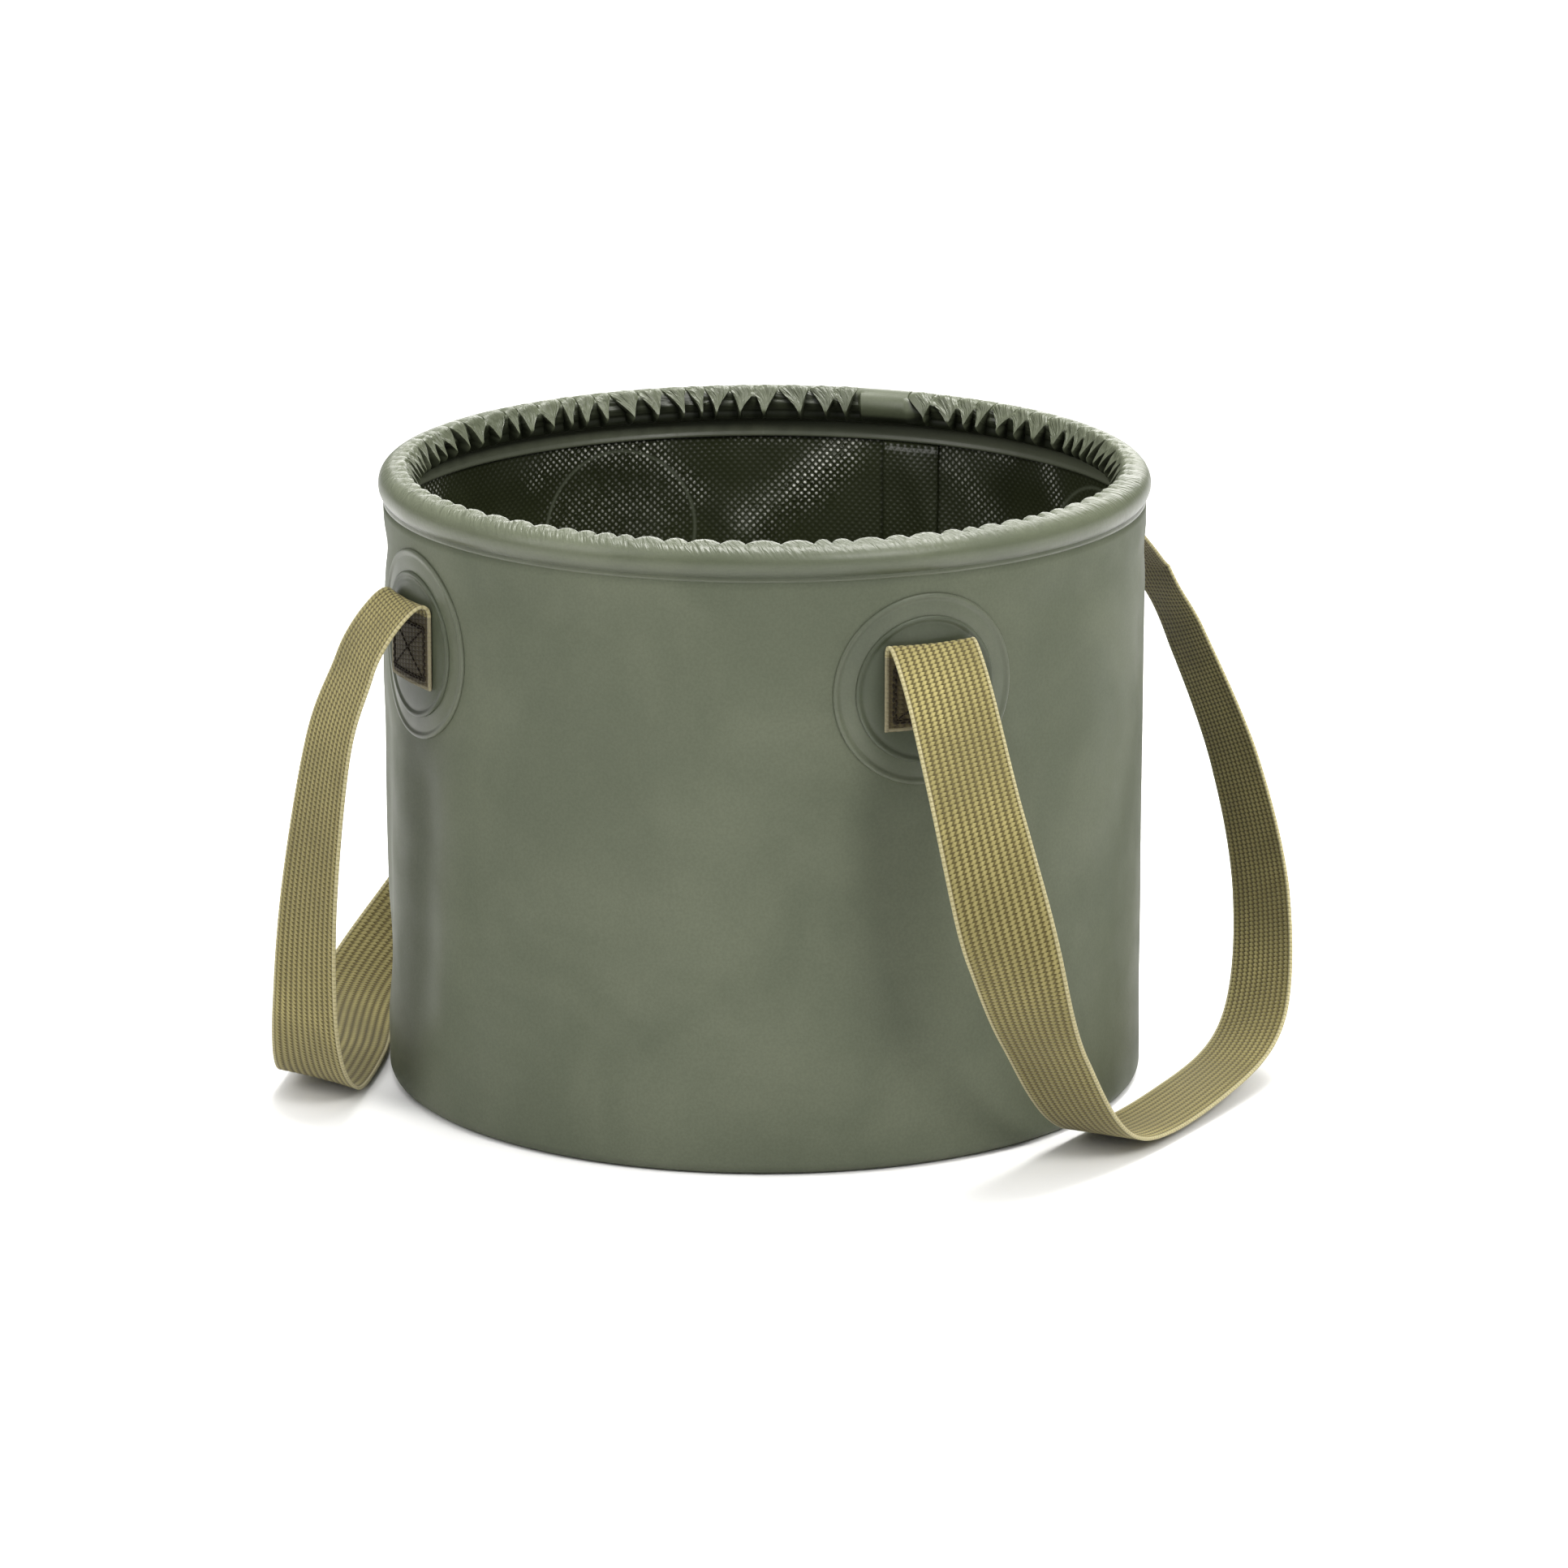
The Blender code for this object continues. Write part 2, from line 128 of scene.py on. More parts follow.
# Webbing: the width of its pale edges, its ribs, and the slanting stitches along each rib
SELVEDGE = 0.0015
RIBS = 11
RIB_PITCH = (WEBBING_WIDTH - 2 * SELVEDGE) / RIBS
RIB_POINTS = 4
WEAVE_PITCH = 0.0019
WEAVE_SHIFT = 0.00055

# Inner face: pitch of its embossed grid, and the ring that each patch's weld presses through
EMBOSS_PITCH = 0.0023
RING_RADIUS = PATCH_RADIUS - 0.0035
RING_HEIGHT = PATCH_HEIGHT - 0.002
RING_WIDTH = 0.0013

# Sewing: length of one stitch and half the thickness of its thread
STITCH_LENGTH = 0.0027
THREAD_RADIUS = 0.0005


class Graph:
    """A short way to write a material's nodes."""

    def __init__(self, name, colour, roughness):
        self.material = bpy.data.materials.new(name)
        self.material.use_nodes = True
        self.material.diffuse_color = (*colour, 1.0)
        self.tree = self.material.node_tree
        self.surface = self.tree.nodes["Principled BSDF"]
        self.surface.inputs["Roughness"].default_value = roughness
        self.surface.inputs["Base Color"].default_value = (*colour, 1.0)

    def node(self, kind, **settings):
        made = self.tree.nodes.new(kind)
        for key, value in settings.items():
            setattr(made, key, value)
        return made

    def feed(self, socket, value):
        if isinstance(value, bpy.types.NodeSocket):
            self.tree.links.new(value, socket)
        elif isinstance(value, (tuple, list)) and socket.type == "RGBA":
            socket.default_value = (*value, 1.0)[:4]
        else:
            socket.default_value = value

    def math(self, operation, *values, clamp=False):
        made = self.node("ShaderNodeMath", operation=operation, use_clamp=clamp)
        for socket, value in zip(made.inputs, values):
            self.feed(socket, value)
        return made.outputs[0]

    def mix(self, share, first, second):
        made = self.node("ShaderNodeMix", data_type="RGBA")
        self.feed(made.inputs[0], share)
        self.feed(made.inputs[6], first)
        self.feed(made.inputs[7], second)
        return made.outputs[2]

    def span(self, value, low, high, to_low=0.0, to_high=1.0):
        made = self.node("ShaderNodeMapRange", interpolation_type="SMOOTHSTEP")
        for socket, number in zip(made.inputs, (value, low, high, to_low, to_high)):
            self.feed(socket, number)
        return made.outputs[0]

    def object_place(self):
        return self.node("ShaderNodeTexCoord").outputs["Object"]

    def uv(self):
        parts = self.node("ShaderNodeSeparateXYZ")
        self.feed(parts.inputs[0], self.node("ShaderNodeUVMap", uv_map="UVMap").outputs[0])
        return parts.outputs[0], parts.outputs[1]

    def noise(self, place, scale, detail=2.0, roughness=0.5, distortion=0.0):
        made = self.node("ShaderNodeTexNoise")
        self.feed(made.inputs["Vector"], place)
        made.inputs["Scale"].default_value = scale
        made.inputs["Detail"].default_value = detail
        made.inputs["Roughness"].default_value = roughness
        made.inputs["Distortion"].default_value = distortion
        return made.outputs["Fac"]

    def bump(self, height, distance, strength=1.0, below=None):
        made = self.node("ShaderNodeBump")
        made.inputs["Distance"].default_value = distance
        self.feed(made.inputs["Strength"], strength)
        self.feed(made.inputs["Height"], height)
        if below is not None:
            self.feed(made.inputs["Normal"], below)
        return made.outputs[0]

    def finish(self, colour=None, roughness=None, normal=None):
        for name, value in (("Base Color", colour), ("Roughness", roughness), ("Normal", normal)):
            if value is not None:
                self.feed(self.surface.inputs[name], value)
        return self.material


def wrinkles(g):
    """Slanting wrinkles over the gathered part of the rim: their height and their strength."""
    u, v = g.uv()
    slanting = g.node("ShaderNodeCombineXYZ")
    g.feed(slanting.inputs[0], g.math("MULTIPLY_ADD", v, 0.55, u))
    g.feed(slanting.inputs[1], g.math("MULTIPLY", v, 0.30))
    height = g.noise(slanting.outputs[0], 380.0, 2.0, 0.55, 0.5)
    over_the_top = g.span(v, 0.010, 0.018, 0.06, 0.75)
    before_the_hem = g.span(v, 0.030, 0.034, 1.0, 0.0)
    plain = PLAIN_EDGE * WALL_RADIUS
    before_plain = g.span(u, plain - 0.0085, plain - 0.0005, 1.0, 0.0)
    strength = g.math("MULTIPLY", over_the_top, before_the_hem)
    return height, g.math("MULTIPLY", strength, before_plain)


def tarpaulin_outside(name, deep, pale, gloss=0.10, gathered=False):
    """Satin coated fabric: soft mottling and a fine skin, and on the rim dark pits of painted
    shade, a hem band paler with a painted reflection, and wrinkles.
    """
    g = Graph(name, pale, 0.48)
    place = g.object_place()
    cloud = g.noise(place, 14.0, 3.0, 0.55, 0.4)
    grain = g.noise(place, 900.0, 2.0, 0.6)
    colour = g.mix(g.span(cloud, 0.3, 0.7), deep, pale)
    colour = g.mix(g.span(grain, 0.3, 0.7, 0.0, 0.12), colour, (0.02, 0.02, 0.015))
    worn = g.noise(place, 45.0, 3.0)
    roughness = g.span(worn, 0.25, 0.75, 0.56 - 0.5 * gloss, 0.66 - 0.5 * gloss)
    skin = g.bump(g.noise(place, 650.0, 3.0, 0.6), 0.00006, 0.6)
    normal = g.bump(g.noise(place, 26.0, 2.0, 0.4), 0.0012, 0.25, skin)
    if gathered:
        # The rim's points carry painted shade for its pits and the crease by the wall, and below 0
        # a painted reflection for the hem band
        shade = g.node("ShaderNodeAttribute", attribute_name="rim_painted_light_and_shade").outputs["Fac"]
        dark = g.math("MULTIPLY", shade, 0.90, clamp=True)
        light = g.math("MULTIPLY", shade, -1.0, clamp=True)
        # Painted shade in the pits, then the paler painted reflection on the hem band
        colour = g.mix(dark, colour, (0.007, 0.009, 0.004))
        colour = g.mix(light, colour, (0.22, 0.235, 0.18))
        wrinkle, strength = wrinkles(g)
        normal = g.bump(wrinkle, 0.0020, strength, normal)
    g.surface.inputs["Specular IOR Level"].default_value = gloss
    return g.finish(colour, roughness, normal)


def weld_rings(g, u, v):
    """The rings that the welds of the four patches press through the wall, as a share."""
    ring = None
    for middle in PATCH_ANGLES:
        across = g.math("SUBTRACT", u, middle * WALL_RADIUS)
        up = g.math("SUBTRACT", v, RING_HEIGHT)
        squares = g.math("ADD", g.math("POWER", across, 2.0), g.math("POWER", up, 2.0))
        off = g.math("SUBTRACT", g.math("SQRT", squares), RING_RADIUS)
        line = g.span(g.math("ABSOLUTE", off), 0.0, RING_WIDTH, 1.0, 0.0)
        ring = line if ring is None else g.math("MAXIMUM", ring, line)
    return ring


def tarpaulin_inside(name, rings=True):
    """The dark glossy inner face, embossed with a fine diamond grid and the patches' weld rings,
    and with painted glints on its knots.
    """
    g = Graph(name, (0.020, 0.024, 0.012), 0.26)
    u, v = g.uv()
    turn = 2 * math.pi / EMBOSS_PITCH / math.sqrt(2)
    first = g.math("SINE", g.math("MULTIPLY", g.math("ADD", u, v), turn))
    second = g.math("SINE", g.math("MULTIPLY", g.math("SUBTRACT", u, v), turn))
    knot = g.math("MULTIPLY", g.math("ADD", first, 1.0), g.math("ADD", second, 1.0))
    knot = g.math("MULTIPLY", knot, 0.25)
    place = g.object_place()
    cloud = g.noise(place, 11.0, 3.0, 0.6, 0.6)
    colour = g.mix(g.span(cloud, 0.3, 0.7), (0.016, 0.019, 0.0075), (0.027, 0.032, 0.0135))
    colour = g.mix(g.span(knot, 0.0, 0.9, 0.0, 0.22), colour, (0.036, 0.043, 0.024))
    # Painted glints: pale specks on the grid's knots where the glint attribute is set, and a
    # stronger bump there
    glint_share = g.node("ShaderNodeAttribute", attribute_name="glint").outputs["Fac"]
    speck = g.math("MULTIPLY", glint_share, g.span(g.noise(place, 430.0, 2.0), 0.34, 0.60))
    speck = g.math("MULTIPLY", speck, g.span(knot, 0.30, 0.62), clamp=True)
    colour = g.mix(speck, colour, (0.86, 0.87, 0.79))
    worn = g.span(g.noise(place, 30.0, 2.0), 0.35, 0.65)
    roughness = g.math("MULTIPLY_ADD", worn, 0.12, 0.28)
    height = knot
    if rings:
        ring = weld_rings(g, u, v)
        height = g.math("MULTIPLY", height, g.math("SUBTRACT", 1.0, ring))
        colour = g.mix(g.math("MULTIPLY", ring, 0.8), colour, (0.085, 0.095, 0.065))
    normal = g.bump(height, 0.00080, g.math("MULTIPLY_ADD", glint_share, 0.7, 0.3))
    g.surface.inputs["Specular IOR Level"].default_value = 0.4
    g.surface.inputs["Coat Weight"].default_value = 0.08
    g.surface.inputs["Coat Roughness"].default_value = 0.2
    return g.finish(colour, roughness, normal)


def webbing_material(name, tab_painted_shade=0.0):
    """Khaki ribbed webbing: pale ribs of slanting stitches, dark dotted grooves and pale edges.
    With painted shade it is darker, as under the fold above, with a pale border along its edges and
    its cut end."""
    g = Graph(name, (0.19, 0.155, 0.060), 0.86)
    u, v = g.uv()
    across = g.math("DIVIDE", g.math("ADD", v, WEBBING_WIDTH / 2 - SELVEDGE), RIB_PITCH)
    shifted = g.math("ADD", u, g.math("MULTIPLY", g.math("FLOOR", across), WEAVE_SHIFT))
    phase = g.math("FRACT", g.math("DIVIDE", shifted, WEAVE_PITCH))
    from_middle = g.math("SUBTRACT", phase, 0.5)
    slant = g.math("MULTIPLY", from_middle, 0.40)
    crown = g.math("SINE", g.math("MULTIPLY", g.math("ADD", across, slant), math.pi))
    crown = g.span(g.math("ABSOLUTE", crown), 0.30, 0.95)
    join = g.span(g.math("ABSOLUTE", from_middle), 0.22, 0.46)
    place = g.object_place()
    patchy = g.noise(place, 21.0, 3.0, 0.6)
    fuzz = g.noise(place, 2300.0, 2.0, 0.6)
    rib = g.mix(g.span(patchy, 0.3, 0.7), (0.196, 0.171, 0.062), (0.325, 0.284, 0.111))
    rib = g.mix(g.math("MULTIPLY", join, 0.30), rib, (0.098, 0.078, 0.022))
    broad = g.noise(place, 9.0, 1.0)
    rib = g.mix(g.span(broad, 0.42, 0.62, 0.0, 0.50), rib, (0.150, 0.130, 0.048))
    groove = g.mix(join, (0.074, 0.058, 0.017), (0.026, 0.020, 0.006))
    colour = g.mix(crown, groove, rib)
    edge = g.span(g.math("ABSOLUTE", v), WEBBING_WIDTH / 2 - 0.0018, WEBBING_WIDTH / 2 - 0.0011)
    edge_colour = g.mix(g.math("MULTIPLY", join, 0.5), (0.39, 0.355, 0.20), (0.16, 0.13, 0.05))
    colour = g.mix(g.math("MULTIPLY", edge, 0.85), colour, edge_colour)
    colour = g.mix(g.span(fuzz, 0.35, 0.7, 0.0, 0.30), colour, (0.07, 0.052, 0.02))
    if tab_painted_shade:
        parts = g.node("ShaderNodeSeparateXYZ")
        g.feed(parts.inputs[0], place)
        cut = g.span(parts.outputs[2], TAB_FOOT + 0.0008, TAB_FOOT + 0.0018, 1.0, 0.0)
        border = g.math("MAXIMUM", cut, edge)
        # Painted shade: the sewn tab darkened all over, as in the shade of the fold above
        colour = g.mix(tab_painted_shade, colour, (0.034, 0.026, 0.013))
        colour = g.mix(g.math("MULTIPLY", border, 0.55), colour, (0.30, 0.27, 0.17))
    height = g.math("ADD", g.math("MULTIPLY", g.math("SUBTRACT", 1.0, join), 0.6),
                    g.math("MULTIPLY", fuzz, 0.4))
    g.surface.inputs["Sheen Weight"].default_value = 0.08
    g.surface.inputs["Specular IOR Level"].default_value = 0.22
    return g.finish(colour, g.span(patchy, 0.2, 0.8, 0.78, 0.92), g.bump(height, 0.00030, 0.9))


def thread_material():
    g = Graph("thread_twist", (0.035, 0.027, 0.016), 0.7)
    place = g.object_place()
    fuzz = g.noise(place, 1500.0, 2.0)
    colour = g.mix(g.span(fuzz, 0.3, 0.7), (0.010, 0.008, 0.005), (0.028, 0.021, 0.013))
    g.surface.inputs["Specular IOR Level"].default_value = 0.12
    return g.finish(colour, g.span(fuzz, 0.2, 0.8, 0.6, 0.8), g.bump(fuzz, 0.0001, 0.7))


def plastic_material():
    g = Graph("hoop_plastic_dark", (0.03, 0.03, 0.03), 0.45)
    place = g.object_place()
    cloud = g.noise(place, 60.0, 3.0)
    colour = g.mix(g.span(cloud, 0.3, 0.7), (0.022, 0.022, 0.022), (0.040, 0.040, 0.039))
    return g.finish(colour, g.span(cloud, 0.2, 0.8, 0.38, 0.55), g.bump(cloud, 0.0002, 0.3))


def floor_material():
    g = Graph("pale_floor", (0.85, 0.85, 0.85), 0.9)
    cloud = g.noise(g.object_place(), 3.0, 2.0)
    colour = g.mix(g.span(cloud, 0.2, 0.8), (0.845, 0.845, 0.845), (0.86, 0.86, 0.86))
    g.surface.inputs["Specular IOR Level"].default_value = 0.1
    return g.finish(colour)


def add_object(name, mesh, materials):
    made = bpy.data.objects.new(name, mesh)
    for material in materials:
        mesh.materials.append(material)
    bpy.context.scene.collection.objects.link(made)
    mesh.shade_smooth()
    return made


def grid_mesh(name, columns, closed):
    """A mesh from columns of (point, u, v), joined round when closed."""
    mesh = bpy.data.meshes.new(name)
    height = len(columns[0])
    points = [entry[0] for column in columns for entry in column]
    faces, corners = [], []
    for index in range(len(columns) - (0 if closed else 1)):
        after = (index + 1) % len(columns)
        full_turn = 2 * math.pi * WALL_RADIUS if closed and after == 0 else 0.0
        for low in range(height - 1):
            quad = ((index, low), (after, low), (after, low + 1), (index, low + 1))
            faces.append([column * height + row for column, row in quad])
            for column, row in quad:
                _, u, v = columns[column][row]
                corners.append((u + (full_turn if column == after else 0.0), v))
    mesh.from_pydata(points, [], faces)
    layer = mesh.uv_layers.new(name="UVMap")
    for loop, corner in zip(layer.data, corners):
        loop.uv = corner
    return mesh


def thicken(piece, thickness, inside=0):
    """Gives a surface its thickness inwards, its inner face in the material that comes later."""
    shell = piece.modifiers.new("sheet", "SOLIDIFY")
    shell.thickness = thickness
    shell.offset = -1.0
    shell.use_even_offset = False
    shell.material_offset = inside


def ease(value, low, high):
    share = min(max((value - low) / (high - low), 0.0), 1.0)
    return share * share * (3 - 2 * share)


def along_wall(phi, middle):
    """The way round the wall from one angle to another, the shorter way, in metres."""
    return ((phi - middle + math.pi) % (2 * math.pi) - math.pi) * WALL_RADIUS


def ridge(phi, z, middle, tilt, width, low, high):
    """A soft fold in the wall along a leaning line, as a share."""
    away = along_wall(phi, math.radians(middle) + tilt * (z - 0.2))
    ends = ease(z, low, low + 0.03) * (1 - ease(z, high - 0.03, high))
    return math.exp(-(away / width) ** 2) * ends


# Painted glints on the knots of the embossed inner face: from an angle in degrees and a height, to
# an angle and a height, half width and strength
PAINTED_GLINTS = (
    (149, 0.226, 143, 0.234, 0.0055, 0.40), (143, 0.234, 136, 0.237, 0.0060, 0.85),
    (136, 0.237, 129, 0.234, 0.0075, 1.00), (129, 0.234, 121, 0.212, 0.0055, 0.45),
    (94.5, 0.239, 98, 0.230, 0.0045, 0.80), (98, 0.230, 104, 0.214, 0.0075, 1.00),
    (104, 0.214, 112, 0.200, 0.0090, 0.36), (142, 0.208, 127, 0.206, 0.0120, 0.22),
    (115, 0.238, 105, 0.237, 0.0028, 0.50), (97, 0.2395, 91, 0.2395, 0.0013, 0.80),
    (87, 0.2385, 80, 0.238, 0.0018, 0.90), (80, 0.234, 72, 0.208, 0.0060, 0.30),
    (75, 0.2375, 68, 0.236, 0.0022, 0.45), (60, 0.238, 57, 0.221, 0.0032, 0.55),
    (30, 0.236, 18, 0.225, 0.0060, 0.50), (2, 0.238, -8, 0.214, 0.0070, 0.60),
    (-36, 0.237, -49, 0.235, 0.0060, 0.80), (-49, 0.235, -62, 0.216, 0.0060, 0.40),
    (-92, 0.238, -84, 0.212, 0.0080, 0.70), (-118, 0.237, -133, 0.236, 0.0060, 0.80),
    (-133, 0.236, -146, 0.220, 0.0060, 0.45), (172, 0.238, 181, 0.210, 0.0070, 0.55),
)

# Soft folds of the wall: angle in degrees, lean, half width, height from and to, and how far the
# wall stands out there
FOLDS = (
    (128, 3.2, 0.011, 0.10, 0.250, 0.0018), (116, 4.4, 0.007, 0.13, 0.250, -0.0012),
    (110, -7.2, 0.009, 0.12, 0.250, -0.0019), (82, 2.4, 0.007, 0.14, 0.250, -0.0013),
    (70, -2.0, 0.010, 0.10, 0.250, 0.0015), (55, 2.6, 0.009, 0.12, 0.250, -0.0010),
    (143, -2.2, 0.012, 0.08, 0.250, 0.0012), (33, 2.2, 0.010, 0.12, 0.250, 0.0011),
    (229, 0.1, 0.013, 0.03, 0.170, -0.0021),
    (208, 0.5, 0.020, 0.02, 0.175, -0.0023), (196, -0.6, 0.015, 0.05, 0.22, 0.0012),
    (243, 0.8, 0.022, 0.03, 0.235, 0.0014), (262, -0.9, 0.024, 0.01, 0.20, -0.0019),
    (284, 0.6, 0.022, 0.04, 0.23, 0.0015), (309, -0.3, 0.014, 0.00, 0.165, -0.0030),
    (331, 0.7, 0.020, 0.03, 0.22, -0.0012), (348, -0.5, 0.022, 0.05, 0.23, 0.0009),
)


def wall_sag(phi, z):
    """How far the soft wall stands in or out from its round, in metres."""
    held = ease(z, 0.006, 0.045) * (1 - ease(z, 0.228, 0.2445))
    place = Vector((math.cos(phi) * 1.6, math.sin(phi) * 1.6, z * 7.0))
    swell = 0.0011 * noise.noise(place) + 0.0005 * noise.noise(place * 2.3 + Vector((5, 2, 9)))
    wave = 0.5 + 0.9 * noise.noise(Vector((math.cos(phi) * 2.6, math.sin(phi) * 2.6, 4.0)))
    swell -= 0.0013 * wave * math.exp(-((z - 0.2255) / 0.0085) ** 2)
    for middle, tilt, width, low, high, depth in FOLDS:
        swell += depth * ridge(phi, z, middle, tilt, width, low, high)
    for middle in PATCH_ANGLES:
        away = math.hypot(along_wall(phi, middle), z - PATCH_HEIGHT)
        swell *= ease(away, PATCH_RADIUS * 0.92, PATCH_RADIUS * 1.5)
    return swell * held


def painted_glint(phi, z):
    """How strongly painted glints lighten the inner face there, from 0 to 1."""
    share = 0.0
    for start, low, finish, high, width, strength in PAINTED_GLINTS:
        along = Vector((math.radians(finish - start) * WALL_RADIUS, high - low))
        away = Vector((along_wall(phi, math.radians(start)), z - low))
        near = min(max(away.dot(along) / along.length_squared, 0.0), 1.0)
        share = max(share, strength * math.exp(-((away - along * near).length / width) ** 2))
    return share


def wall_skin(outside, inside):
    """The soft wall with its corner and turned-in edge, one sheet with two faces."""
    profile = []
    steps = 72
    top = WALL_TOP + GAP
    for step in range(steps + 1):
        z = top + (CORNER_RADIUS - top) * step / steps
        profile.append((WALL_RADIUS, z))
    for step in range(1, 9):
        turn = math.radians(90 * step / 8)
        profile.append((WALL_RADIUS - CORNER_RADIUS * (1 - math.cos(turn)),
                        CORNER_RADIUS * (1 - math.sin(turn))))
    for step in range(1, 7):
        profile.append((BASE_RADIUS - FLANGE_WIDTH * step / 6, 0.0))
    lengths = [0.0]
    for (r0, z0), (r1, z1) in zip(profile, profile[1:]):
        lengths.append(lengths[-1] + math.hypot(r1 - r0, z1 - z0))
    columns = []
    count = 288
    for index in range(count):
        phi = 2 * math.pi * index / count
        column = []
        for (r, z), length in zip(profile, lengths):
            reach = r + (wall_sag(phi, z) if r >= WALL_RADIUS else 0.0)
            column.append(((reach * math.cos(phi), reach * math.sin(phi), z),
                           phi * WALL_RADIUS, top - length))
        columns.append(column[::-1])
    mesh = grid_mesh("wall_skin", columns, True)
    # Painted glints: how much the inner face's knots are lightened there, from the table of painted
    # glints
    layer = mesh.attributes.new("glint", "FLOAT", "POINT")
    for value, point in zip(layer.data, mesh.vertices):
        if point.co.z > 0.17:
            value.value = painted_glint(math.atan2(point.co.y, point.co.x), point.co.z)
    piece = add_object("wall_skin", mesh, (outside, inside))
    thicken(piece, SHEET, inside=1)
    return piece


def pleats():
    """The teeth round the rim: both angles, both pits' heads, tip, lean and how full each is."""
    chance = random.Random(11)
    widths = [chance.uniform(0.68, 1.36) for _ in range(PLEATS)]
    scale = (2 * math.pi - PLAIN_ARC) / sum(widths)
    heads = [chance.uniform(*PIT_HEADS) for _ in range(PLEATS)] + [LAST_HEAD]
    angle = PLAIN_MIDDLE + PLAIN_ARC / 2
    made = []
    for index, width in enumerate(widths):
        start = angle
        angle += width * scale
        fullness = chance.uniform(0.8, 1.0) * min(1.0, 0.5 + 0.25 * min(index, PLEATS - 1 - index))
        made.append((start, angle, heads[index], heads[index + 1], chance.uniform(*TOOTH_TIPS),
                     chance.uniform(-0.30, 0.30), fullness))
    return made


def tooth_edge(degrees, head, tip):
    """Half width of a tooth there, as a share of the way to the next pit."""
    return 0.93 - 0.89 * min(max((degrees - head) / (tip - head), 0.0), 1.0)


def crest(degrees, away):
    """The scallops that the gathers make along the top of the hoop, high on each tooth."""
    bulge = SCALLOP * (1 - 2 * away ** 2.4)
    return bulge * ease(degrees, 80, 104) * (1 - ease(degrees, 112, 150))


def tooth_reach(degrees, fullness, away):
    """A tooth hangs straight from over the hoop to its tip, then turns back under."""
    straight = TOOTH_REACH / math.cos(math.radians(min(degrees, 191.0) - TOOTH_TILT))
    straight = SLEEVE_RADIUS + (straight - SLEEVE_RADIUS) * ease(degrees, 100, 128) * fullness
    return straight + (SLEEVE_RADIUS - straight) * ease(degrees, 194, 240) + crest(degrees, away)


def pit_reach(degrees, head, fold):
    """A pit drops steeply behind the teeth, and where fold is 1 a small fold stands up in it."""
    sunk = PIT_DEPTH * ease(degrees, head - 3, head + 42) * (1 - ease(degrees, 214, 246))
    rise = SMALL_FOLD * max(0.0, 1 - abs(degrees - 171) / 24)
    return SLEEVE_RADIUS - sunk + fold * rise + crest(degrees, 1.0)


